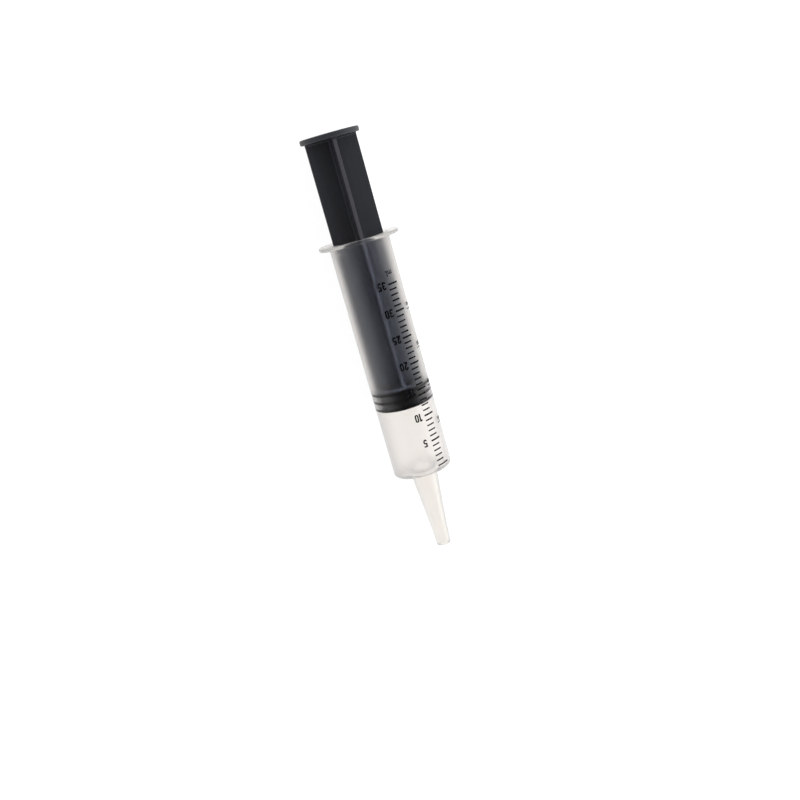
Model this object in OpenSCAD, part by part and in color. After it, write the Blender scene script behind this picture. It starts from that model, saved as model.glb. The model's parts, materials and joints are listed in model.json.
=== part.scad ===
// Feeding syringe with a long tapered catheter tip, a black plunger and a printed scale.
// It lies along X. The open end of the tip is at the origin and the plunger points to -X.
// Profiles are drawn as (radius, station), and a station is the distance back from the open end.

/* [Barrel] */
// Inside diameter of the barrel
bore_d = 23.4; // [18:0.1:30]
// Thickness of the barrel's wall
wall_t = 1.2; // [0.9:0.1:2]
// Length of the barrel past the last line of its scale, to its mouth
spare_l = 20.75; // [18:0.125:40]
// Thickness of the front wall at its rim
front_wall_t = 1.6; // [1.2:0.1:3]
// Depth of the shallow cone inside the front wall
front_cone_h = 0.7; // [0.2:0.1:1]
// Rounding of the outer front edge
front_edge_r = 1.3; // [0.5:0.1:2]
// Rounding of the inner front corner
inner_corner_r = 0.7; // [0.2:0.1:1]
// Height of the bead that keeps the stopper in
bead_h = 0.25; // [0.1:0.05:0.5]
// Length of that bead
bead_l = 1.2; // [0.6:0.1:2]
// Distance of the bead from the mouth
bead_back = 4; // [2:0.5:8]
// Chamfer inside the mouth
mouth_chamfer = 0.4; // [0.1:0.1:0.8]

/* [Catheter tip] */
// Length of the tip in front of the barrel
tip_l = 36.75; // [25:0.25:50]
// Outside diameter of the tip where it meets the barrel
tip_base_d = 11.6; // [10:0.1:14]
// Outside diameter at the break between the two tapers
tip_neck_d = 7.1; // [6.6:0.1:9]
// Outside diameter at the open end
tip_end_d = 6.1; // [5.4:0.1:6.6]
// Length of the slim end with a straight hole
tip_land_l = 9.5; // [4:0.5:14]
// Diameter of the straight hole
lumen_d = 3.8; // [2.5:0.1:4.2]
// Diameter of the hole where it opens into the barrel
lumen_base_d = 7.2; // [5:0.1:8]
// Rounding of the tip's open end
tip_edge_r = 0.3; // [0.1:0.05:0.5]
// Fillet between the tip and the front wall
tip_root_r = 0.8; // [0.3:0.1:1.5]

/* [Finger flange] */
// Reach of the two finger wings past the barrel
wing_reach = 4.3; // [3:0.1:12]
// Reach of the two flats that the syringe lies on past the barrel
flat_reach = 0.8; // [0.6:0.1:2]
// Thickness of the flange
flange_t = 1.5; // [1.3:0.1:3]
// Rounding of the flange's corners in plan
flange_corner_r = 3; // [1:0.5:5]
// Rounding of the wings' rim
flange_edge_r = 0.6; // [0.2:0.1:0.7]
// Fillet between the barrel and the flange
flange_root_r = 0.6; // [0.2:0.1:1]

/* [Stopper] */
// Length of the stopper from its front ring to its back face
stopper_l = 7.65; // [7:0.05:12]
// Height of its low conical nose
nose_h = 1.7; // [0.8:0.1:1.7]
// Diameter of the flat at the front of the nose
nose_flat_d = 6.8; // [4:0.2:10]
// Radius of the round back of each sealing ring
ring_r = 0.42; // [0.3:0.02:0.6]
// Number of sealing rings
ring_count = 3; // [2:1:4]
// Depth of the grooves between the rings
groove_depth = 0.65; // [0.4:0.05:1]

/* [Plunger rod] */
// Gap between the flange and the thumb rest when the plunger is home
thumb_gap = 13; // [4:0.5:20]
// Thickness of the front disc behind the stopper
disc_t = 1.6; // [1:0.1:3]
// Thickness of a rib at the centre of the rod
rib_root_t = 1.7; // [1.6:0.1:3.5]
// Thickness of a rib at its outer edge
rib_end_t = 1.4; // [0.8:0.1:1.6]
// Fillet between neighbouring ribs
rib_fillet_r = 0.6; // [0.3:0.1:2]
// Diameter of the thumb rest
thumb_d = 25; // [20:0.5:27]
// Thickness of the thumb rest
thumb_t = 2.2; // [1.5:0.1:4]
// Rounding of the thumb rest's rim
thumb_edge_r = 0.6; // [0.2:0.1:0.7]
// Number of grip grooves in the thumb face
grip_count = 3; // [0:1:4]
// Depth of a grip groove
grip_depth = 0.3; // [0.1:0.1:0.8]
// Width of a grip groove
grip_w = 0.8; // [0.4:0.1:1.2]

/* [Snap joint] */
// Diameter of the rod's neck inside the stopper
neck_d = 7.8; // [5:0.2:9]
// Diameter of the snap head in front of the neck
head_d = 11; // [10:0.2:14]
// Diameter of the head's front face
head_front_d = 8.4; // [6:0.2:9.6]
// Thickness of the rubber lip behind the head
lip_t = 2.1; // [1.2:0.1:3]
// Length of the head's straight part
head_flat_l = 1; // [0.5:0.1:1.5]
// Length of the head's tapered part
head_taper_l = 2; // [1:0.1:2.5]

/* [Printed scale] */
// Largest marked volume in millilitres
capacity_ml = 35; // [20:5:35]
// Spacing of the one millilitre lines, the length of the bore that holds one millilitre
ml_pitch = 2.325; // [1.6:0.005:2.5]
// Width of a one millilitre line
short_line_w = 0.6; // [0.2:0.05:0.8]
// Width of a five millilitre line
long_line_w = 0.7; // [0.2:0.05:0.8]
// Width of the zero line
zero_line_w = 0.6; // [0.3:0.05:0.9]
// Length round the barrel of a one millilitre line
short_line_l = 4; // [2:0.1:6]
// Length round the barrel of a five millilitre line
long_line_l = 5.2; // [4:0.1:7]
// Length round the barrel of the zero line
zero_line_l = 6.6; // [5:0.1:8]
// Turn of the lines' common end away from the top
line_turn = 31; // [28:1:40]
// Turn of the numerals' centre away from the top
numeral_turn = 17.5; // [12:0.5:19]
// Height of a numeral
numeral_h = 3.5; // [3:0.1:4.5]
// Width of a wide digit
numeral_w = 1.65; // [1.4:0.05:2]
// Width of a numeral's stroke
numeral_stroke = 0.62; // [0.3:0.02:0.64]
// Height of the unit mark's tall letter
unit_h = 2.4; // [2:0.1:3]
// Width of the unit mark's first letter
unit_w = 2.1; // [1.6:0.1:3]
// Width of the unit mark's strokes
unit_stroke = 0.4; // [0.2:0.02:0.4]
// Turn of the ounce lines' end away from the top
ounce_turn = 64; // [62:1:80]
// Length round the barrel of an ounce line
ounce_line_l = 3.6; // [2:0.1:6]
// Width of an ounce line
ounce_line_w = 0.3; // [0.2:0.05:0.6]
// Height of an ounce numeral
ounce_h = 1.8; // [1.8:0.1:2.4]
// Width of an ounce digit
ounce_w = 1; // [0.8:0.05:1]
// Width of an ounce numeral's stroke
ounce_stroke = 0.26; // [0.16:0.02:0.28]

/* [Rest position] */
// Volume that the front ring reads at rest
drawn_ml = 12.3; // [0:0.1:35]
// Turn of the plunger rod's ribs at rest
rod_turn = 8; // [0:0.5:90]

/* [Hidden] */

// Roundness of turned surfaces, of plan outlines and of printed strokes
$fn = 96;
plan_fn = 48;
stroke_fn = 32;
// Straight steps in a quarter of a rounded edge
edge_steps = 6;
// Overrun of every cut past the face that it opens
over = 1;

// Gaps that parts run or seat with
seal_clear = 0.04;
snap_clear = 0.05;
face_gap = 0.1;
home_gap = 1.15;
rib_clear = 0.8;

// The ink's thickness, and how far flat characters reach each way before they are cut to the barrel
ink_t = 0.06;
wrap_reach = 1;

// Millilitres between long lines, millilitres in a fluid ounce, and marked parts of an ounce
long_step = 5;
ounce_ml = 29.5735;
ounce_parts = 4;

// Spaces between printed characters and beside the lines
digit_gap = 0.32;
unit_gap = 0.35;
unit_drop = 3.2;
ounce_drop = 0.9;
ounce_gap = 0.25;

// Proportions of the printed characters
one_width_share = 0.7;
one_flag_share = 0.24;
two_turn_share = 0.66;
two_bar_share = 1.3;
three_cut_share = 0.27;
three_bar_share = 0.3;
four_bar_share = 0.24;
four_stem_share = 0.62;
five_bowl_share = 0.62;
five_stem_share = 0.5;
five_left_share = 0.06;
five_cut_shares = [0.26, 0.46];
unit_x_share = 0.68;
unit_l_share = 0.5;
slash_lean_share = 0.45;

// Radii
bore_r = bore_d / 2;
outer_r = bore_r + wall_t;
bead_r = bore_r - bead_h;
lumen_r = lumen_d / 2;
lumen_base_r = lumen_base_d / 2;
tip_end_r = tip_end_d / 2;
tip_neck_r = tip_neck_d / 2;
tip_base_r = tip_base_d / 2;
seal_r = bore_r - seal_clear;
groove_r = seal_r - groove_depth;
nose_flat_r = nose_flat_d / 2;
neck_r = neck_d / 2;
head_r = head_d / 2;
head_front_r = head_front_d / 2;
rod_r = bore_r - rib_clear;
thumb_r = thumb_d / 2;
wing_r = outer_r + wing_reach;
flat_x = outer_r + flat_reach;

// Stations back from the open end of the tip
front_s = tip_l;
floor_s = front_s + front_wall_t;
zero_s = floor_s + home_gap;
scale_l = capacity_ml * ml_pitch;
mouth_s = zero_s + scale_l + spare_l;
flange_s = mouth_s - flange_t;
bead_s = mouth_s - bead_back;
ounce_pitch = ml_pitch * ounce_ml / ounce_parts;
ounce_marks = floor(scale_l / ounce_pitch);
drawn_l = ml_pitch * drawn_ml;
seal_s = zero_s + drawn_l;
nose_s = seal_s - nose_h;
stopper_back_s = seal_s + stopper_l;
lip_s = stopper_back_s - lip_t;
head_back_s = lip_s - face_gap;
head_mid_s = head_back_s - head_flat_l;
head_front_s = head_mid_s - head_taper_l;
rod_front_s = stopper_back_s + face_gap;
rod_ribs_s = rod_front_s + disc_t;
thumb_under_s = mouth_s + thumb_gap + drawn_l;
thumb_face_s = thumb_under_s + thumb_t;

// Draft angle of a rib's sides
rib_draft = atan2((rib_root_t - rib_end_t) / 2, rod_r);
// Place on the diagonal of the corner between two ribs, and of its fillet's centre
rib_diagonal = sin(rib_draft) + cos(rib_draft);
rib_corner = rib_root_t / 2 * cos(rib_draft) / rib_diagonal;
rib_fillet_c = rib_corner + rib_fillet_r / rib_diagonal;

// The angle that a length takes round the outside of the barrel
function wrap(length) = length / outer_r * 180 / PI;
// Points of a round edge about a centre
function edge(centre, radius, from, to) = [
    for (i = [0 : edge_steps])
        let (a = from + (to - from) * i / edge_steps)
        centre + radius * [cos(a), sin(a)]
];
function line_station(ml) = zero_s + ml * ml_pitch;
function digit_width(digit, width) = digit == 1 ? width * one_width_share : width;
function number_width(number) = number < 10
    ? digit_width(number, numeral_w)
    : digit_width(floor(number / 10), numeral_w) + digit_gap + digit_width(number % 10, numeral_w);

// Stands a shape that is drawn round local Z along the syringe, with stations running to -X
module lay_down() {
    rotate([0, -90, 0]) children();
}

// Turns a profile of radii and stations round the syringe's axis
module turned() {
    lay_down() rotate_extrude() children();
}

module barrel_outside() {
    polygon(concat(
        [[0, 0]],
        edge([tip_end_r - tip_edge_r, tip_edge_r], tip_edge_r, -90, 0),
        [[tip_neck_r, tip_land_l]],
        edge([tip_base_r + tip_root_r, front_s - tip_root_r], tip_root_r, 180, 90),
        edge([outer_r - front_edge_r, front_s + front_edge_r], front_edge_r, -90, 0),
        edge([outer_r + flange_root_r, flange_s - flange_root_r], flange_root_r, 180, 90),
        [[outer_r + flange_root_r, mouth_s], [0, mouth_s]]
    ));
}

module barrel_inside() {
    polygon(concat(
        [[0, -over], [lumen_r, -over], [lumen_r, tip_land_l], [lumen_base_r, floor_s - front_cone_h]],
        edge([bore_r - inner_corner_r, floor_s + inner_corner_r], inner_corner_r, -90, 0),
        [
            [bore_r, bead_s - bead_l / 2],
            [bead_r, bead_s],
            [bore_r, bead_s + bead_l / 2],
            [bore_r, mouth_s - mouth_chamfer],
            [bore_r + mouth_chamfer, mouth_s],
            [bore_r + mouth_chamfer, mouth_s + over],
            [0, mouth_s + over]
        ]
    ));
}

// Plan of the flange: two round wings between two flats, with rounded corners.
// A wedge through the corners' centres, long enough to pass the rim, keeps each wing's arc.
module flange_plan() {
    corner_x = flat_x - flange_corner_r;
    corner_y = sqrt(pow(wing_r - flange_corner_r, 2) - pow(corner_x, 2));
    wedge = 2 * wing_r / corner_y;
    intersection() {
        circle(r = wing_r);
        union() {
            square([2 * flat_x, 2 * corner_y], center = true);
            for (side = [-1, 1])
                polygon([[0, 0], side * wedge * [corner_x, corner_y], side * wedge * [-corner_x, corner_y]]);
        }
    }
    for (side_x = [-1, 1], side_y = [-1, 1])
        translate([side_x * corner_x, side_y * corner_y]) circle(r = flange_corner_r, $fn = plan_fn);
}

// Disc with a rounded rim that gives the wings their soft edges
module flange_disc() {
    polygon(concat(
        [[0, flange_s]],
        edge([wing_r - flange_edge_r, flange_s + flange_edge_r], flange_edge_r, -90, 0),
        edge([wing_r - flange_edge_r, mouth_s - flange_edge_r], flange_edge_r, 0, 90),
        [[0, mouth_s]]
    ));
}

module flange() {
    intersection() {
        turned() flange_disc();
        lay_down() translate([0, 0, flange_s - over]) linear_extrude(flange_t + 2 * over) flange_plan();
    }
}

// One clear moulding: tip, front wall, tube and finger flange
module barrel() {
    color([0.93, 0.92, 0.9, 0.5])
    difference() {
        union() {
            turned() barrel_outside();
            flange();
        }
        turned() barrel_inside();
    }
}

// Rubber stopper: low nose, sealing rings, and a pocket for the rod's snap head
module stopper() {
    color([0.09, 0.09, 0.1])
    turned() {
        polygon([
            [0, nose_s], [nose_flat_r, nose_s], [groove_r, seal_s + ring_r / 2],
            [groove_r, stopper_back_s - ring_r / 2], [groove_r - ring_r / 2, stopper_back_s],
            [neck_r + snap_clear, stopper_back_s], [neck_r + snap_clear, lip_s],
            [head_r + snap_clear, lip_s], [head_r + snap_clear, head_mid_s - snap_clear],
            [head_front_r + snap_clear, head_front_s - face_gap], [0, head_front_s - face_gap]
        ]);
        for (i = [0 : ring_count - 1])
            translate([seal_r - ring_r, seal_s + ring_r + (stopper_l - 2 * ring_r) * i / (ring_count - 1)])
                circle(r = ring_r, $fn = stroke_fn);
    }
}

// Section of the rod: four drafted ribs with a fillet in each corner
module rod_section() {
    tangent_near = rib_fillet_c - rib_fillet_r * cos(rib_draft);
    tangent_far = rib_fillet_c - rib_fillet_r * sin(rib_draft);
    for (quarter = [0 : 3])
        rotate(rod_turn + 90 * quarter) {
            polygon([[0, -rib_root_t / 2], [rod_r, -rib_end_t / 2], [rod_r, rib_end_t / 2], [0, rib_root_t / 2]]);
            difference() {
                polygon([[0, 0], [tangent_far, tangent_near], [tangent_near, tangent_far]]);
                translate([rib_fillet_c, rib_fillet_c]) circle(r = rib_fillet_r, $fn = stroke_fn);
            }
        }
}

// Snap head, neck and front disc as one turned profile
module rod_front() {
    polygon([
        [0, head_front_s], [head_front_r, head_front_s], [head_r, head_mid_s], [head_r, head_back_s],
        [neck_r, head_back_s], [neck_r, rod_front_s], [rod_r, rod_front_s], [rod_r, rod_ribs_s],
        [0, rod_ribs_s]
    ]);
}

// Thumb rest with a rounded rim and ring grooves in its outer face
module thumb_profile() {
    groove_pitch = (thumb_r - thumb_edge_r) / (grip_count + 1);
    difference() {
        polygon(concat(
            [[0, thumb_under_s]],
            edge([thumb_r - thumb_edge_r, thumb_under_s + thumb_edge_r], thumb_edge_r, -90, 0),
            edge([thumb_r - thumb_edge_r, thumb_face_s - thumb_edge_r], thumb_edge_r, 0, 90),
            [[0, thumb_face_s]]
        ));
        if (grip_count > 0)
            for (i = [1 : grip_count])
                translate([groove_pitch * i - grip_w / 2, thumb_face_s - grip_depth])
                    square([grip_w, grip_depth + over]);
    }
}

// One black moulding: snap head, front disc, ribs and thumb rest
module plunger_rod() {
    color([0.15, 0.15, 0.17])
    union() {
        turned() rod_front();
        lay_down() translate([0, 0, rod_ribs_s - disc_t / 2])
            linear_extrude(thumb_under_s - rod_ribs_s + disc_t / 2 + thumb_t / 2) rod_section();
        turned() thumb_profile();
    }
}

// A line printed round the barrel, centred on its station
module printed_line(station, turn, length, width) {
    lay_down() rotate(turn)
        rotate_extrude(angle = wrap(length))
            translate([outer_r, station - width / 2]) square([ink_t, width]);
}

// Wraps flat characters onto the barrel: they stand up towards the tip and read towards -Y
module printed_at(station, turn) {
    lay_down()
    intersection() {
        rotate(turn) translate([outer_r - wrap_reach, 0, station])
            rotate([-90, 0, 0]) rotate([0, 90, 0])
                linear_extrude(2 * wrap_reach) children();
        translate([0, 0, station - numeral_h]) difference() {
            cylinder(r = outer_r + ink_t, h = 2 * numeral_h);
            translate([0, 0, -over]) cylinder(r = outer_r, h = 2 * numeral_h + 2 * over);
        }
    }
}

// A closed stroke with round ends, the base of the round digits
module pill(w, h) {
    for (y = [w / 2, h - w / 2])
        translate([w / 2, y]) circle(d = w, $fn = stroke_fn);
    translate([0, w / 2]) square([w, h - w]);
}

module loop(w, h, s) {
    difference() {
        pill(w, h);
        translate([s, s]) pill(w - 2 * s, h - 2 * s);
    }
}

module digit_one(w, h, s) {
    one_w = w * one_width_share;
    translate([one_w - s, 0]) square([s, h]);
    polygon([[one_w - s / 2, h], [one_w - s, h], [0, h - h * one_flag_share + s],
        [0, h - h * one_flag_share], [one_w - s / 2, h - s]]);
}

module digit_two(w, h, s) {
    turn_y = h * two_turn_share;
    square([w, s]);
    intersection() {
        translate([0, h - 2 * w]) loop(w, 2 * w, s);
        translate([0, turn_y]) square([w, h]);
    }
    polygon([[0, s / 2], [0, s], [w - s, turn_y], [w - s, turn_y + s / 2], [w, turn_y + s / 2], [w, turn_y],
        [s * two_bar_share, s / 2]]);
}

module digit_three(w, h, s) {
    half_h = (h + s) / 2;
    cut_y = h * three_cut_share;
    difference() {
        for (y = [0, h - half_h])
            translate([0, y]) loop(w, half_h, s);
        translate([-w, cut_y]) square([w + w / 2, h - 2 * cut_y]);
    }
    translate([w * three_bar_share, h / 2 - s / 2]) square([w / 2, s]);
}

module digit_four(w, h, s) {
    stem_x = w * four_stem_share;
    bar_y = h * four_bar_share;
    translate([stem_x, 0]) square([s, h]);
    translate([0, bar_y]) square([w, s]);
    polygon([[0, bar_y], [0, bar_y + s], [stem_x, h], [stem_x + s, h], [stem_x, h - 2 * s], [s, bar_y]]);
}

module digit_five(w, h, s) {
    bowl_h = h * five_bowl_share;
    left = w * five_left_share;
    translate([left, h - s]) square([w - left, s]);
    translate([left, h * five_stem_share]) square([s, h - h * five_stem_share]);
    difference() {
        loop(w, bowl_h, s);
        translate([-w, h * five_cut_shares[0]])
            square([w + w / 2, h * (five_cut_shares[1] - five_cut_shares[0])]);
    }
}

module digit(value, w, h, s) {
    if (value == 0) loop(w, h, s);
    if (value == 1) digit_one(w, h, s);
    if (value == 2) digit_two(w, h, s);
    if (value == 3) digit_three(w, h, s);
    if (value == 4) digit_four(w, h, s);
    if (value == 5) digit_five(w, h, s);
}

// A whole number, centred
module number(value) {
    first = floor(value / 10);
    translate([-number_width(value) / 2, -numeral_h / 2]) {
        if (first > 0) digit(first, numeral_w, numeral_h, numeral_stroke);
        translate([first > 0 ? digit_width(first, numeral_w) + digit_gap : 0, 0])
            digit(value % 10, numeral_w, numeral_h, numeral_stroke);
    }
}

module letter_m(w, h, s) {
    arch_w = (w + s) / 2;
    for (x = [0, arch_w - s])
        intersection() {
            translate([x, -h]) loop(arch_w, 2 * h, s);
            square([w, h]);
        }
    square([s, h]);
}

module letter_l(w, h, s) {
    square([s, h]);
    square([w, s]);
}

module letter_z(w, h, s) {
    square([w, s]);
    translate([0, h - s]) square([w, s]);
    polygon([[0, s / 2], [w - s, h - s / 2], [w, h - s / 2], [s, s / 2]]);
}

// Unit mark of the main scale, with its right edge at the lines' common end
module unit_mark() {
    l_w = unit_w * unit_l_share;
    translate([-unit_w - unit_gap - l_w, 0]) letter_m(unit_w, unit_h * unit_x_share, unit_stroke);
    translate([-l_w, 0]) letter_l(l_w, unit_h, unit_stroke);
}

// A fraction on one line: top, slash, bottom
module fraction(top, bottom) {
    lean = ounce_w * slash_lean_share;
    digit(top, ounce_w, ounce_h, ounce_stroke);
    translate([digit_width(top, ounce_w) + ounce_gap, 0])
        polygon([[0, 0], [ounce_stroke, 0], [ounce_stroke + lean, ounce_h], [lean, ounce_h]]);
    translate([digit_width(top, ounce_w) + ounce_stroke + lean + 2 * ounce_gap, 0])
        digit(bottom, ounce_w, ounce_h, ounce_stroke);
}

module one_ounce() {
    letter_h = ounce_h * unit_x_share;
    letter_w = ounce_w * four_stem_share + ounce_stroke;
    digit(1, ounce_w, ounce_h, ounce_stroke);
    translate([digit_width(1, ounce_w) + 2 * ounce_gap, 0]) loop(letter_w, letter_h, ounce_stroke);
    translate([digit_width(1, ounce_w) + 3 * ounce_gap + letter_w, 0])
        letter_z(letter_w, letter_h, ounce_stroke);
}

module zero_line() {
    color("black") printed_line(zero_s, line_turn, zero_line_l, zero_line_w);
}

module five_ml_lines() {
    color("black")
    for (ml = [long_step : long_step : capacity_ml])
        printed_line(line_station(ml), line_turn, long_line_l, long_line_w);
}

module one_ml_lines() {
    color("black")
    for (ml = [1 : capacity_ml])
        if (ml % long_step != 0)
            printed_line(line_station(ml), line_turn, short_line_l, short_line_w);
}

module ml_numerals() {
    color("black")
    for (ml = [long_step : long_step : capacity_ml])
        printed_at(line_station(ml), numeral_turn) number(ml);
}

module ml_unit_mark() {
    color("black")
    printed_at(line_station(capacity_ml) + unit_drop + unit_h, line_turn) unit_mark();
}

module ounce_lines() {
    color("black")
    for (part = [1 : ounce_marks])
        printed_line(zero_s + part * ounce_pitch, ounce_turn, ounce_line_l, ounce_line_w);
}

module ounce_numerals() {
    color("black")
    for (part = [1 : ounce_marks])
        printed_at(zero_s + part * ounce_pitch + ounce_drop + ounce_h, ounce_turn + wrap(ounce_line_l)) {
            if (part == ounce_parts) one_ounce();
            else if (part % 2 == 0) fraction(part / 2, ounce_parts / 2);
            else fraction(part, ounce_parts);
        }
}

barrel();
stopper();
plunger_rod();
zero_line();
five_ml_lines();
one_ml_lines();
ml_numerals();
ml_unit_mark();
ounce_lines();
ounce_numerals();
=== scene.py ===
import json
import math

import bmesh
import bpy
from mathutils import Matrix, Vector


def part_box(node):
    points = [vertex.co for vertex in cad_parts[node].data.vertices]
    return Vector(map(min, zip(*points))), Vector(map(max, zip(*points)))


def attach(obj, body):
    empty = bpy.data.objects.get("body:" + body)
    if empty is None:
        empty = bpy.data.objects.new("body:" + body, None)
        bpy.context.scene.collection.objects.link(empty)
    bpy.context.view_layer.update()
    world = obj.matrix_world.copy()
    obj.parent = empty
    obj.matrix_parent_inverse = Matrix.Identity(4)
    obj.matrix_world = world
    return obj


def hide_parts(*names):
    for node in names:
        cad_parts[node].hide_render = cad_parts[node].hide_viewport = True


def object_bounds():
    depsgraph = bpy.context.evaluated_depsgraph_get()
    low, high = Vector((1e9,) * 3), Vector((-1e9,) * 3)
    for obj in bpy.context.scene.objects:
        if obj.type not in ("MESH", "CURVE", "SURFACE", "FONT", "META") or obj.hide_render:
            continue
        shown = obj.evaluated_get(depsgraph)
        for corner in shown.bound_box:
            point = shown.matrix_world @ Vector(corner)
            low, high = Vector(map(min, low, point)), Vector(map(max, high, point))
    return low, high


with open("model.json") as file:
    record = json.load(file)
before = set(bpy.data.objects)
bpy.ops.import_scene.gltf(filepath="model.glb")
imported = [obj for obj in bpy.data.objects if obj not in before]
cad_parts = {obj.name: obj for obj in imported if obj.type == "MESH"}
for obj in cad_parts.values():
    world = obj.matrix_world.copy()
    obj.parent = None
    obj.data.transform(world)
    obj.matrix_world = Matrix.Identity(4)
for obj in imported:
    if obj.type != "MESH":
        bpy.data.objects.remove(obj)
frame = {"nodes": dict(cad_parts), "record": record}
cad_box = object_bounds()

# Camera: the photograph's viewpoint, above and behind the lying syringe, fitted to its scale lines.
# It looks down on the scale from the plunger's side, with the tip pointing to the lower right.
MM = 0.001  # Blender's unit is the metre, and sizes times MM are written in millimetres
camera_place = Vector((-175.55, -1.595, 416.44)) * MM
camera_tilt = math.radians(14.28)
camera_roll = math.radians(15.81)
forward = Vector((math.sin(camera_tilt), 0, -math.cos(camera_tilt)))
level_up = Vector((-math.cos(camera_tilt), 0, -math.sin(camera_tilt)))
level_right = Vector((0, 1, 0))
right = level_right * math.cos(camera_roll) - level_up * math.sin(camera_roll)
up = level_right * math.sin(camera_roll) + level_up * math.cos(camera_roll)
camera_data = bpy.data.cameras.new("camera")
camera_data.sensor_width = 36
camera_data.lens = 44.39
camera = bpy.data.objects.new("camera", camera_data)
bpy.context.scene.collection.objects.link(camera)
camera.matrix_world = Matrix.Translation(camera_place) @ Matrix((right, up, -forward)).transposed().to_4x4()
bpy.context.scene.camera = camera
bpy.context.scene.view_settings.view_transform = "Standard"
cycles = bpy.context.scene.cycles
cycles.use_denoising = True
cycles.max_bounces = cycles.transmission_bounces = 24  # light turns many times inside a clear wall
cycles.glossy_bounces = 16

# Barrel: one moulding of natural polypropylene, with the tube, the front wall, the catheter tip and
# the two finger wings in one piece. It is injected round a steel core, so it is smooth inside and
# out, and the plastic itself is slightly milky. Stations count back from the tip's open end.
mounts = {mount["name"]: mount for mount in frame["record"]["mounts"]}
outer_r = mounts["barrel_outside"]["dims"]["r_mm"]
lumen_r = mounts["tip_outlet"]["dims"]["r_mm"]
land_l = mounts["tip_outlet"]["dims"]["length_mm"]
barrel_low, barrel_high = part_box("barrel")
mouth_s = -barrel_low.x / MM
wing_r = barrel_high.y / MM
flat_x = barrel_high.z / MM
wall_t = 1.2
bore_r = outer_r - wall_t
skin = 0.01  # the wall's outside lies this far under the ink, so that the two never coincide
wall_r = outer_r - skin
tube_l = 104.875
front_s = mouth_s - tube_l
front_wall_t = 1.6
floor_s = front_s + front_wall_t
cone_h = 0.7
front_edge_r = 1.3
inner_corner_r = 0.7
tip_end_r = 3.05
tip_neck_r = 3.55
tip_base_r = 5.8
tip_edge_r = 0.3
tip_root_r = 0.8
lumen_edge = 0.12
lumen_ring_s = 4  # one more ring part of the way down the straight end of the lumen
lumen_base_r = 3.6
funnel_r = 1.5  # the lumen opens into the front wall's cone with this round
funnel_from = 85  # and the round starts at this angle, about square to the cone
flange_t = 1.5
flange_s = mouth_s - flange_t
flange_corner_r = 3
flange_edge_r = 0.6
flange_root_r = 0.6
bead_back = 4
bead_s = mouth_s - bead_back
bead_h = 0.25
bead_l = 1.2
bead_steps = 4
lead_in = 0.45  # the mouth's inner edge is cut back this far, in two slopes that meet at the bend
lead_bend_r = 0.2
lead_bend_s = 0.12
wall_rings = 12
lumen_rings = 6
barrel_sides = 288


def arc(centre_r, centre_s, radius, start, end, steps=6):
    """Points of a round edge in a profile of radii and stations, from one angle to another in degrees."""
    points = []
    for i in range(steps + 1):
        a = math.radians(start + (end - start) * i / steps)
        points.append((centre_r + radius * math.cos(a), centre_s + radius * math.sin(a)))
    return points


def between(start, end, parts):
    """Points that part a straight stretch of a profile, without its two ends."""
    return [tuple(a + (b - a) * i / parts for a, b in zip(start, end)) for i in range(1, parts)]


def quarter_round(radius, steps=6):
    """Points of a round between a face and a side: how far each is from the side, and from the face."""
    angles = [math.radians(90 * i / steps) for i in range(steps + 1)]
    return [(radius * (1 - math.sin(a)), radius * (1 - math.cos(a))) for a in angles]


def flange_reach(turn, inset):
    """Distance from the axis to the flange's rim at a turn from the top, for a rim drawn in by inset."""
    wing, flat, corner = wing_r - inset, flat_x - inset, flange_corner_r - inset
    corner_x = flat_x - flange_corner_r
    corner_y = math.sqrt((wing_r - flange_corner_r) ** 2 - corner_x ** 2)
    x, y = abs(math.cos(turn)), abs(math.sin(turn))
    along = corner_x * x + corner_y * y
    across = corner_x * y - corner_y * x
    if across >= 0:
        return wing
    if flat * y <= corner_y * x:
        return flat / x
    return along + math.sqrt(corner ** 2 - across ** 2)


def flange_row(inset, station):
    return (lambda turn: flange_reach(turn, inset), station)


def even_turns(count):
    return [2 * math.pi * i / count for i in range(count)]


def lofted(name, profile, turns, closed=False, inside_from=math.inf):
    """A mesh of rings along the axis. A profile row is (radius or a function of the turn, station) in mm.
    A closed profile makes a ring with a hole through it. An open one starts and ends on the axis.
    Faces from the row inside_from on take the second material."""
    sharp = math.radians(32)
    weld = 1e-7
    mesh = bmesh.new()
    rows = []
    for radius, station in profile:
        if radius == 0:
            rows.append([mesh.verts.new((-station * MM, 0, 0))])
            continue
        row = []
        for turn in turns:
            r = radius(turn) if callable(radius) else radius
            row.append(mesh.verts.new(Vector((-station, r * math.sin(turn), r * math.cos(turn))) * MM))
        rows.append(row)
    pairs = list(zip(rows, rows[1:])) + ([(rows[-1], rows[0])] if closed else [])
    for number, (first, second) in enumerate(pairs):
        for i in range(len(turns)):
            corners = [first[i % len(first)], first[(i + 1) % len(first)],
                       second[(i + 1) % len(second)], second[i % len(second)]]
            face = mesh.faces.new(list(dict.fromkeys(corners)))
            face.material_index = int(number >= inside_from)
    bmesh.ops.remove_doubles(mesh, verts=mesh.verts, dist=weld)
    bmesh.ops.dissolve_degenerate(mesh, edges=mesh.edges, dist=weld)
    bmesh.ops.recalc_face_normals(mesh, faces=mesh.faces)
    for face in mesh.faces:
        face.smooth = True
    for edge in mesh.edges:
        edge.smooth = len(edge.link_faces) == 2 and edge.calc_face_angle() < sharp
    data = bpy.data.meshes.new(name)
    mesh.to_mesh(data)
    mesh.free()
    piece = bpy.data.objects.new(name, data)
    bpy.context.scene.collection.objects.link(piece)
    return piece


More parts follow.
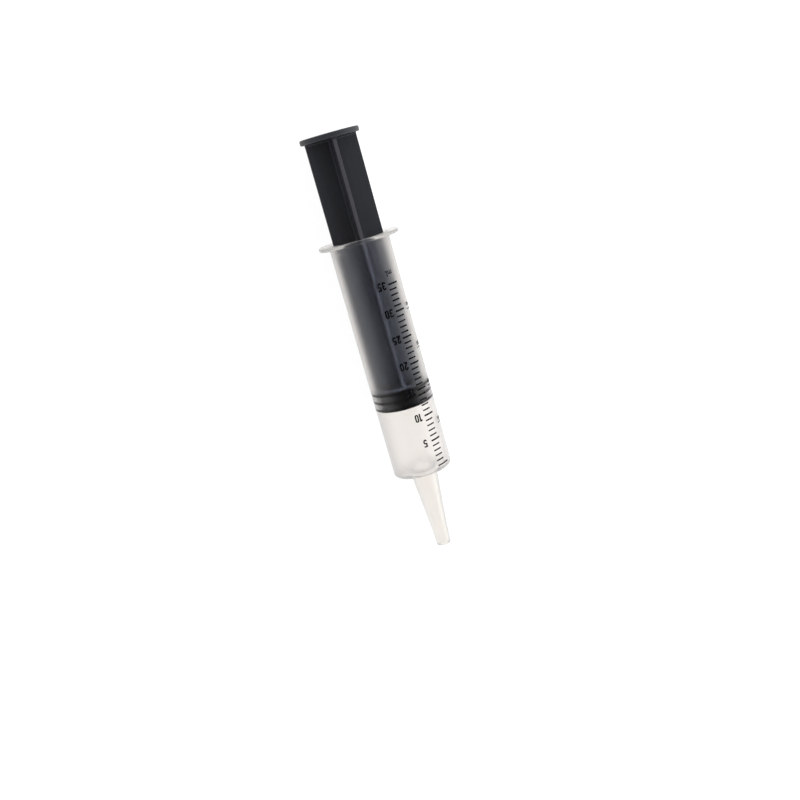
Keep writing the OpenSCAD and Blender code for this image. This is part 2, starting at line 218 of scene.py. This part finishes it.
outside_profile = (
    [(lumen_r + lumen_edge, 0)]
    + arc(tip_end_r - tip_edge_r, tip_edge_r, tip_edge_r, -90, 0)
    + [(tip_neck_r, land_l)]
    + arc(tip_base_r + tip_root_r, front_s - tip_root_r, tip_root_r, 180, 90)
    + arc(wall_r - front_edge_r, front_s + front_edge_r, front_edge_r, -90, 0, steps=10)
    + between((wall_r, front_s), (wall_r, flange_s), wall_rings)
    + arc(wall_r + flange_root_r, flange_s - flange_root_r, flange_root_r, 180, 90)
    + [flange_row(inset, flange_s + depth) for inset, depth in quarter_round(flange_edge_r)]
    + [flange_row(inset, mouth_s - depth) for inset, depth in reversed(quarter_round(flange_edge_r))]
    + [(bore_r + lead_in, mouth_s)]
)
inside_profile = (
    [(bore_r + lead_bend_r, mouth_s - lead_bend_s), (bore_r, mouth_s - lead_in)]
    + [(bore_r - bead_h * (1 + math.cos(math.pi * i / bead_steps)) / 2, bead_s - bead_l / 2 * i / bead_steps)
       for i in range(-bead_steps, bead_steps + 1)]
    + between((bore_r, bead_s), (bore_r, floor_s), wall_rings)
    + arc(bore_r - inner_corner_r, floor_s + inner_corner_r, inner_corner_r, 0, -90)
    + arc(lumen_base_r + funnel_r, floor_s - cone_h - funnel_r, funnel_r, funnel_from, 180, steps=8)
    + between((lumen_base_r, floor_s - cone_h), (lumen_r, land_l), lumen_rings)
    + [(lumen_r, land_l), (lumen_r, lumen_ring_s), (lumen_r, lumen_edge)]
)
barrel = lofted("barrel_moulding", outside_profile + inside_profile, even_turns(barrel_sides),
                closed=True, inside_from=len(outside_profile))


def linear(code):
    """A colour written as sRGB hex, as Blender's linear red, green, blue and alpha."""
    parts = [int(code[i:i + 2], 16) / 255 for i in (0, 2, 4)]
    return [p / 12.92 if p <= 0.04045 else ((p + 0.055) / 1.055) ** 2.4 for p in parts] + [1]


def add_node(tree, kind, settings=None, *feeds, **links):
    """Adds a node. Settings name its properties or its inputs, feeds are the sockets that its inputs
    take in their order, and links name inputs and the sockets that they take."""
    node = tree.nodes.new(kind)
    for key, value in (settings or {}).items():
        if key in node.inputs.keys():
            node.inputs[key].default_value = value
        else:
            setattr(node, key, value)
    for place, socket in enumerate(feeds):
        tree.links.new(socket, node.inputs[place])
    for key, socket in links.items():
        tree.links.new(socket, node.inputs[key.replace("_", " ")])
    return node


def new_material(name):
    """A material with an empty node tree, and that tree."""
    material = bpy.data.materials.new(name)
    material.use_nodes = True
    material.node_tree.nodes.clear()
    return material, material.node_tree


def put_on(piece, material):
    piece.data.materials.clear()
    piece.data.materials.append(material)


def polypropylene(name, roughness):
    """Natural polypropylene: clear, with faint clouds where the melt cooled at different speeds.
    The wall of the tip is thicker than the tube's, so the plastic is a little milkier there."""
    material, tree = new_material(name)
    cloud_w = 10
    root_l = 1  # the milkier tone is full this far out on the tip
    place = add_node(tree, "ShaderNodeTexCoord")
    clouds = add_node(tree, "ShaderNodeTexNoise", {
        "Scale": 1 / (cloud_w * MM), "Detail": 2,
    }, Vector=place.outputs["Object"])
    tone = add_node(tree, "ShaderNodeValToRGB", Fac=clouds.outputs["Fac"])
    tone.color_ramp.elements[0].color = linear("fffbf6")
    tone.color_ramp.elements[1].color = linear("fffcf9")
    axes = add_node(tree, "ShaderNodeSeparateXYZ", Vector=place.outputs["Object"])
    on_tip = add_node(tree, "ShaderNodeMapRange", {
        "From Min": -floor_s * MM, "From Max": -(front_s - root_l) * MM,
    }, Value=axes.outputs["X"])
    thick = add_node(tree, "ShaderNodeMixRGB", {"Color2": linear("fbf7f1")}, Fac=on_tip.outputs["Result"],
                     Color1=tone.outputs["Color"])
    plastic = add_node(tree, "ShaderNodeBsdfPrincipled", {
        "IOR": 1.49, "Transmission Weight": 1, "Roughness": roughness,
    }, Base_Color=thick.outputs["Color"])
    add_node(tree, "ShaderNodeOutputMaterial", Surface=plastic.outputs["BSDF"])
    return material


# The outside is moulded against a polished steel. The core side is duller, and its haze blurs what
# stands away from the wall and leaves what touches it sharp.
put_on(barrel, polypropylene("natural_polypropylene_polished", roughness=0.3))
barrel.data.materials.append(polypropylene("natural_polypropylene_core_side", roughness=0.5))
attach(barrel, "barrel")
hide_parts("barrel")

# Printed scale: black ink, screen printed round the barrel in one pass. It has lines for each
# millilitre, numerals every five, a unit mark, and a second scale in quarters of a fluid ounce.
# The ink is a film that dries semi-matt and a little uneven.
blot_w = 0.4  # the real screen's mesh is about 0.1 mm, too fine to show
ink, tree = new_material("screen_printed_black_ink")
place = add_node(tree, "ShaderNodeTexCoord")
film = add_node(tree, "ShaderNodeTexNoise", {
    "Scale": 1 / (blot_w * MM), "Detail": 3,
}, Vector=place.outputs["Object"])
tone = add_node(tree, "ShaderNodeValToRGB", Fac=film.outputs["Fac"])
tone.color_ramp.elements[0].color = linear("060607")
tone.color_ramp.elements[1].color = linear("101012")
coat = add_node(tree, "ShaderNodeBsdfPrincipled", {
    "Roughness": 0.5, "Specular IOR Level": 0.1,
}, Base_Color=tone.outputs["Color"])
add_node(tree, "ShaderNodeOutputMaterial", Surface=coat.outputs["BSDF"])
for name in ("zero_line", "five_ml_lines", "one_ml_lines", "ml_numerals", "ml_unit_mark",
             "ounce_lines", "ounce_numerals"):
    put_on(frame["nodes"][name], ink)

# Stopper: black butyl rubber, moulded and siliconed, stretched over the rod's snap head.
# It has a low nose and three round rings that are squeezed against the bore.
stopper_low, stopper_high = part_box("stopper")
nose_s = -stopper_high.x / MM
stopper_back_s = -stopper_low.x / MM
stopper_l = 7.65
seal_s = stopper_back_s - stopper_l
nose_flat_r = 3.1
nose_bevel_r = 0.4
nose_bevel_s = 0.12
ring_count = 3
ring_r = 0.42
ring_side = 75  # degrees of round on each side of a ring's flat
ring_pitch = (stopper_l - 2 * ring_r) / (ring_count - 1)
contact_l = 0.8  # length of a ring that the squeeze lays flat on the bore
squeeze = 0.02  # the rings press this far into the wall, which takes the air gap away
ring_top = bore_r + squeeze
groove_d = 0.69
groove_r = bore_r - groove_d
front_bevel_r = 0.3
front_bevel_s = 0.1
front_edge_s = 0.18
back_bevel_r = 0.2
pocket_neck_r = 3.95
pocket_head_r = 5.55
pocket_front_r = 4.25
lip_t = 2.1
lip_s = stopper_back_s - lip_t
pocket_flat_l = 1.15
pocket_l = 3.2
pocket_mid_s = lip_s - pocket_flat_l
pocket_front_s = lip_s - pocket_l
stopper_sides = 128


def ring(middle_s):
    """Profile of one ring, a round on each side of the flat that the squeeze gives it."""
    return (arc(ring_top - ring_r, middle_s - contact_l / 2, ring_r, -ring_side, 0, steps=5)
            + arc(ring_top - ring_r, middle_s + contact_l / 2, ring_r, 0, ring_side, steps=5))


nose_edge = (nose_flat_r, nose_s)
nose_slope = (nose_flat_r + nose_bevel_r, nose_s + nose_bevel_s)
stopper_profile = (
    [(0, nose_s), nose_edge] + between(nose_edge, nose_slope, 2) + [nose_slope]
    + [(groove_r - front_bevel_r, seal_s + front_bevel_s), (groove_r, seal_s + front_edge_s)]
    + [point for i in range(ring_count) for point in ring(seal_s + ring_r + ring_pitch * i)]
    + [(groove_r - back_bevel_r, stopper_back_s), (pocket_neck_r, stopper_back_s), (pocket_neck_r, lip_s)]
    + [(pocket_head_r, lip_s), (pocket_head_r, pocket_mid_s), (pocket_front_r, pocket_front_s)]
    + [(0, pocket_front_s)]
)
stopper = lofted("stopper_rubber", stopper_profile, even_turns(stopper_sides))

# Butyl rubber: a dark, slightly soft black with a thin film of silicone oil that evens its sheen.
grain_w = 0.35  # coarser than the real grain of about 0.05 mm, so that it shows
grain_d = 0.05
rubber, tree = new_material("siliconed_butyl_rubber")
place = add_node(tree, "ShaderNodeTexCoord")
grain = add_node(tree, "ShaderNodeTexNoise", {
    "Scale": 1 / (grain_w * MM), "Detail": 4,
}, Vector=place.outputs["Object"])
bump = add_node(tree, "ShaderNodeBump", {
    "Strength": 0.15, "Distance": grain_d * MM,
}, Height=grain.outputs["Fac"])
tone = add_node(tree, "ShaderNodeValToRGB", Fac=grain.outputs["Fac"])
tone.color_ramp.elements[0].color = linear("08080a")
tone.color_ramp.elements[1].color = linear("0e0e11")
surface = add_node(tree, "ShaderNodeBsdfPrincipled", {
    "Roughness": 0.42, "Specular IOR Level": 0.02,
}, Base_Color=tone.outputs["Color"], Normal=bump.outputs["Normal"])
add_node(tree, "ShaderNodeOutputMaterial", Surface=surface.outputs["BSDF"])
put_on(stopper, rubber)
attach(stopper, "stopper")
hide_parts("stopper")

# Plunger rod: one moulding of black polypropylene, with a snap head that holds the stopper,
# a front disc behind it, four drafted ribs and a round thumb rest with three grip grooves.
rod_low, rod_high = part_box("plunger_rod")
head_front_s = -rod_high.x / MM
head_taper_l = 2
head_flat_l = 1
head_mid_s = head_front_s + head_taper_l
head_back_s = head_mid_s + head_flat_l
head_r = 5.5
head_front_r = 4.2
head_bevel_r = 0.3
head_bevel_s = 0.2
neck_r = 3.9
rib_clear = 0.8
rod_r = bore_r - rib_clear
end_play = 0.1
rod_front_s = stopper_back_s + end_play
disc_t = 1.6
disc_edge_r = 0.2
ribs_s = rod_front_s + disc_t
root_half = 0.85
end_half = 0.7
draft = math.atan((root_half - end_half) / rod_r)
fillet_r = 0.6
rib_edge_r = 0.2
foot_r = 1.2
rib_rings = 10
rod_turn = math.radians(8)
thumb_face_s = -rod_low.x / MM
thumb_r = rod_high.y / MM
thumb_t = 2.2
thumb_under_s = thumb_face_s - thumb_t
thumb_edge_r = 0.6
grip_count = 3
grip_w = 0.8
grip_d = 0.3
grip_lip = 0.08
grip_flank = 0.15
grip_dish = 0.02
grip_pitch = (thumb_r - thumb_edge_r) / (grip_count + 1)


def rib_reach(turn, swell):
    """Distance from the axis to the ribs' surface at a turn from the top, with the sides swollen outwards."""
    a = abs((turn - rod_turn + math.pi / 4) % (math.pi / 2) - math.pi / 4)
    half = root_half + swell / math.cos(draft)
    side = half / (math.sin(a) + math.tan(draft) * math.cos(a))
    reach = min(rod_r / math.cos(a), side)
    corner_x = rod_r - rib_edge_r
    corner_y = half - rib_edge_r / math.cos(draft) - corner_x * math.tan(draft)
    along = corner_x * math.cos(a) + corner_y * math.sin(a)
    across = corner_x * math.sin(a) - corner_y * math.cos(a)
    if abs(across) < rib_edge_r:
        rounded = along + math.sqrt(rib_edge_r ** 2 - across ** 2)
        tangent_low = math.atan2(corner_y, rod_r)
        tangent_high = math.atan2(corner_y + rib_edge_r * math.cos(draft),
                                  corner_x + rib_edge_r * math.sin(draft))
        if tangent_low <= a <= tangent_high:
            reach = rounded
    centre = (fillet_r + half * math.cos(draft)) / (math.sin(draft) + math.cos(draft))
    tangent = math.atan2(centre - fillet_r * math.cos(draft), centre - fillet_r * math.sin(draft))
    if a > tangent:
        along = centre * (math.cos(a) + math.sin(a))
        across = centre * (math.cos(a) - math.sin(a))
        reach = along - math.sqrt(max(fillet_r ** 2 - across ** 2, 0))
    return reach


def rib_row(swell, station, limit=math.inf):
    return (lambda turn: min(rib_reach(turn, swell), limit), station)


# Turns in degrees from the middle of a rib to the middle of the corner between two ribs. They lie
# closer together round the rib's edge and in the corner's fillet, where the surface bends.
edge_turns = [0, 1, 2, 2.6, 2.85, 3.05, 3.2, 3.35, 3.5, 3.65, 3.85, 4.1, 4.6, 5.4, 6.5, 8]
side_turns = [10, 12.5, 15, 18, 21, 24, 27, 30, 33, 36, 38, 39.5, 41, 42.5, 44, 45]
half_turns = sorted({-turn for turn in edge_turns + side_turns} | set(edge_turns + side_turns))
rod_turns = [rod_turn + math.radians(90 * rib + turn) for rib in range(4) for turn in half_turns[:-1]]

# One grip groove in section, as places across it and depths, and all of them from the rim inwards.
half_grip = [(grip_w / 2 + grip_lip, 0), (grip_w / 2, grip_lip), (grip_w / 2 - grip_flank, grip_d)]
grip = half_grip + [(0, grip_d + grip_dish)] + [(-x, depth) for x, depth in reversed(half_grip)]
grips = [(grip_pitch * i + x, thumb_face_s - depth) for i in range(grip_count, 0, -1) for x, depth in grip]
rod_profile = (
    [(0, head_front_s), (head_front_r - head_bevel_r, head_front_s)]
    + [(head_front_r, head_front_s + head_bevel_s), (head_r, head_mid_s), (head_r, head_back_s)]
    + [(neck_r, head_back_s), (neck_r, rod_front_s)]
    + arc(rod_r - disc_edge_r, rod_front_s + disc_edge_r, disc_edge_r, -90, 0, steps=4)
    + arc(rod_r - disc_edge_r, ribs_s - disc_edge_r, disc_edge_r, 0, 90, steps=4)
    + [rib_row(swell, ribs_s + height, rod_r) for swell, height in quarter_round(foot_r)]
    + [rib_row(*row) for row in between((0, ribs_s + foot_r), (0, thumb_under_s - foot_r), rib_rings)]
    + [rib_row(swell, thumb_under_s - height) for swell, height in reversed(quarter_round(foot_r))]
    + arc(thumb_r - thumb_edge_r, thumb_under_s + thumb_edge_r, thumb_edge_r, -90, 0)
    + arc(thumb_r - thumb_edge_r, thumb_face_s - thumb_edge_r, thumb_edge_r, 0, 90)
    + grips
    + [(0, thumb_face_s)]
)
rod = lofted("plunger_moulding", rod_profile, rod_turns)

# Black polypropylene: moulded against a finely polished steel, which leaves a satin gloss with
# faint flow marks along the ribs. The edges catch a thin light line. The ribs' ends and the front
# disc's rim carry a painted highlight, a paler tone painted on their outer edges.
mark_l = 16
mark_w = 1.4
mark_d = 0.1
painted_highlight_deep = 0.25  # the painted highlight begins this far under the outer edge, and is full at the next depth
painted_highlight_full = 0.05
painted_highlight_end = 0.4  # towards the thumb rest it is gone at this distance, and full at the next one
painted_highlight_fade = 1.2
black_plastic, tree = new_material("black_polypropylene_moulded")
place = add_node(tree, "ShaderNodeTexCoord")
stretch = add_node(tree, "ShaderNodeMapping", {
    "Scale": (1 / (mark_l * MM), 1 / (mark_w * MM), 1 / (mark_w * MM)),
}, Vector=place.outputs["Object"])
flow = add_node(tree, "ShaderNodeTexNoise", {"Scale": 1, "Detail": 3}, Vector=stretch.outputs["Vector"])
bump = add_node(tree, "ShaderNodeBump", {
    "Strength": 0.1, "Distance": mark_d * MM,
}, Height=flow.outputs["Fac"])
shine = add_node(tree, "ShaderNodeMapRange", {"To Min": 0.42, "To Max": 0.52}, Value=flow.outputs["Fac"])
tone = add_node(tree, "ShaderNodeValToRGB", Fac=flow.outputs["Fac"])
tone.color_ramp.elements[0].color = linear("292b31")
tone.color_ramp.elements[1].color = linear("303238")
# Painted highlight: a paler tone near the outer edge of the ribs' ends and the front disc's rim, gone before
# the thumb rest.
around = add_node(tree, "ShaderNodeMapping", {"Scale": (0, 1, 1)}, Vector=place.outputs["Object"])
radius = add_node(tree, "ShaderNodeVectorMath", {"operation": "LENGTH"}, around.outputs["Vector"])
painted_highlight_edge = add_node(tree, "ShaderNodeMapRange", {
    "From Min": (rod_r - painted_highlight_deep) * MM, "From Max": (rod_r - painted_highlight_full) * MM,
}, Value=radius.outputs["Value"])
axes = add_node(tree, "ShaderNodeSeparateXYZ", Vector=place.outputs["Object"])
on_ribs = add_node(tree, "ShaderNodeMapRange", {
    "From Min": -(thumb_under_s - painted_highlight_end) * MM, "From Max": -(thumb_under_s - painted_highlight_fade) * MM,
}, Value=axes.outputs["X"])
painted_highlight_mask = add_node(tree, "ShaderNodeMath", {"operation": "MULTIPLY"}, painted_highlight_edge.outputs["Result"],
                on_ribs.outputs["Result"])
shade = add_node(tree, "ShaderNodeMixRGB", {"Color2": linear("424247")}, Fac=painted_highlight_mask.outputs["Value"],
                 Color1=tone.outputs["Color"])
surface = add_node(tree, "ShaderNodeBsdfPrincipled", {"IOR": 1.49}, Base_Color=shade.outputs["Color"],
                   Roughness=shine.outputs["Result"], Normal=bump.outputs["Normal"])
add_node(tree, "ShaderNodeOutputMaterial", Surface=surface.outputs["BSDF"])
put_on(rod, black_plastic)
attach(rod, "plunger")
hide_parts("plunger_rod")

# Stage: a plain white floor under the lying syringe. It shows white, with a pool of light painted
# in a band along the syringe's right side, and keeps the shadow.
floor_reach = 1.5  # metres
floor_drop = 0.1
floor_z = barrel_low.z - floor_drop * MM
sides = [(-1, -1), (1, -1), (1, 1), (-1, 1)]
floor_corners = [(x * floor_reach, y * floor_reach, floor_z) for x, y in sides]
floor_mesh = bpy.data.meshes.new("floor")
floor_mesh.from_pydata(floor_corners, [], [(0, 1, 2, 3)])
floor = bpy.data.objects.new("floor", floor_mesh)
bpy.context.scene.collection.objects.link(floor)


def seen_directly(tree):
    """One where the camera sees the floor, also mirrored or through the clear wall, and else nothing."""
    ray = add_node(tree, "ShaderNodeLightPath")
    bare = add_node(tree, "ShaderNodeMath", {"operation": "MAXIMUM"}, ray.outputs["Is Camera Ray"],
                    ray.outputs["Is Glossy Ray"])
    every = add_node(tree, "ShaderNodeMath", {"operation": "MAXIMUM"}, bare.outputs["Value"],
                     ray.outputs["Is Transmission Ray"])
    return every.outputs["Value"]


# The painted pool of light begins 5 mm right of the axis, is full from 14 to 25 mm and ends at 50 mm.
ramp_w = 100
painted_pool_stops = [(5, "000000"), (14, "ffffff"), (25, "ffffff"), (50, "000000")]
white_floor, tree = new_material("white_studio_floor")
paper = add_node(tree, "ShaderNodeBsdfDiffuse", {"Color": linear("5a5a5a")})
place = add_node(tree, "ShaderNodeTexCoord")
axes = add_node(tree, "ShaderNodeSeparateXYZ", Vector=place.outputs["Object"])
across = add_node(tree, "ShaderNodeMapRange", {"From Max": ramp_w * MM}, Value=axes.outputs["Y"])
painted_pool = add_node(tree, "ShaderNodeValToRGB", Fac=across.outputs["Result"])
painted_pool.color_ramp.elements.remove(painted_pool.color_ramp.elements[1])  # a new ramp is white at its far end
for stop, shade in painted_pool_stops:
    painted_pool.color_ramp.elements.new(stop / ramp_w).color = linear(shade)
# Painted pool of light: the floor's glow is stronger inside the band.
glow_with_painted_pool = add_node(tree, "ShaderNodeMapRange", {"To Min": 0.95, "To Max": 1.15}, Value=painted_pool.outputs["Color"])
lift = add_node(tree, "ShaderNodeMapRange", Value=seen_directly(tree), To_Max=glow_with_painted_pool.outputs["Result"])
glow = add_node(tree, "ShaderNodeEmission", {"Color": linear("ffffff")}, Strength=lift.outputs["Result"])
total = add_node(tree, "ShaderNodeAddShader", None, paper.outputs["BSDF"], glow.outputs["Emission"])
add_node(tree, "ShaderNodeOutputMaterial", Surface=total.outputs["Shader"])
floor.data.materials.append(white_floor)

# Room: soft pale light that is stronger on the right. Reflections show bright walls and a darker
# ceiling. Lamps can't light what lies inside the milky barrel, so a ray that has come out through
# its wall meets a cooler and stronger light. The camera itself sees plain white past the floor.
wall_faces = 2  # a clear wall is crossed in two steps, so a ray with more has been inside the barrel
world = bpy.data.worlds.new("pale_room")
bpy.context.scene.world = world
world.cycles.sampling_method = "NONE"  # every ray finds the room by itself, so its Light Path is true
world.use_nodes = True
tree = world.node_tree
tree.nodes.clear()
room = add_node(tree, "ShaderNodeTexCoord")
axes = add_node(tree, "ShaderNodeSeparateXYZ", Vector=room.outputs["Generated"])


def across_room(left, right):
    """A light that rises from the room's left wall to its right one."""
    return add_node(tree, "ShaderNodeMapRange", {
        "From Min": -0.7, "From Max": 0.7, "To Min": left, "To Max": right,
    }, Value=axes.outputs["Y"]).outputs["Result"]


def towards(lean):
    """One at a place above that leans to the right by some degrees, and less all round it."""
    height = add_node(tree, "ShaderNodeVectorMath", {"operation": "DOT_PRODUCT"}, room.outputs["Generated"])
    height.inputs[1].default_value = (0, math.sin(math.radians(lean)), math.cos(math.radians(lean)))
    return height.outputs["Value"]


def less(value, taken):
    """What is left of a value after another is taken from it, and not below nothing."""
    return add_node(tree, "ShaderNodeMath", {
        "operation": "SUBTRACT", "use_clamp": True,
    }, value, taken).outputs["Value"]


overhead = add_node(tree, "ShaderNodeMapRange", {
    "interpolation_type": "SMOOTHSTEP", "From Min": 0.2, "From Max": 0.9, "To Max": 0.05,
}, Value=towards(lean=10), To_Min=across_room(left=0.85, right=1.5))
# One for a ray that has been inside the barrel, and one for a ray that something outside it mirrors.
ray = add_node(tree, "ShaderNodeLightPath")
inside = add_node(tree, "ShaderNodeMath", {
    "operation": "SUBTRACT", "use_clamp": True,
}, ray.outputs["Transmission Depth"])
inside.inputs[1].default_value = wall_faces
mirrored = less(less(ray.outputs["Is Glossy Ray"], ray.outputs["Diffuse Depth"]), inside.outputs["Value"])
# Light that the black rod and stopper scatter has to be stronger than light seen through the wall.
from_black = add_node(tree, "ShaderNodeMapRange", {
    "To Min": 1.6, "To Max": 3.5,
}, Value=ray.outputs["Diffuse Depth"])
through = add_node(tree, "ShaderNodeMapRange", {
    "From Min": 0.1, "From Max": 1, "To Min": 1.05,
}, Value=towards(lean=40), To_Max=from_black.outputs["Result"])
plain = add_node(tree, "ShaderNodeMapRange", Value=inside.outputs["Value"],
                 To_Min=across_room(left=0.4, right=1.15), To_Max=through.outputs["Result"])
light = add_node(tree, "ShaderNodeMapRange", Value=mirrored, To_Min=plain.outputs["Result"],
                 To_Max=overhead.outputs["Result"])
tint = add_node(tree, "ShaderNodeMixRGB", {
    "Color1": linear("ffffff"), "Color2": linear("d4e3ff"),
}, Fac=inside.outputs["Value"])
shown = add_node(tree, "ShaderNodeMapRange", {"To Max": 1}, Value=ray.outputs["Is Camera Ray"],
                 To_Min=light.outputs["Result"])
sky = add_node(tree, "ShaderNodeBackground", Color=tint.outputs["Color"], Strength=shown.outputs["Result"])
add_node(tree, "ShaderNodeOutputWorld", Surface=sky.outputs["Background"])


# Lamps: two soft discs, the main one on the right and a weak one on the left.
def add_lamp(name, place, aim, size, power):
    data = bpy.data.lights.new(name, "AREA")
    data.shape = "DISK"
    data.size = size
    data.energy = power
    lamp = bpy.data.objects.new(name, data)
    lamp.location = place
    lamp.rotation_euler = (Vector(aim) - Vector(place)).to_track_quat("-Z", "Y").to_euler()
    lamp.visible_glossy = False
    lamp.visible_transmission = False
    bpy.context.scene.collection.objects.link(lamp)


middle = (cad_box[0] + cad_box[1]) / 2
add_lamp("right_lamp", place=(middle.x - 0.1, 0.9, 0.8), aim=middle, size=0.6, power=6)
add_lamp("left_lamp", place=(middle.x, -0.9, 0.7), aim=middle, size=0.6, power=0.5)
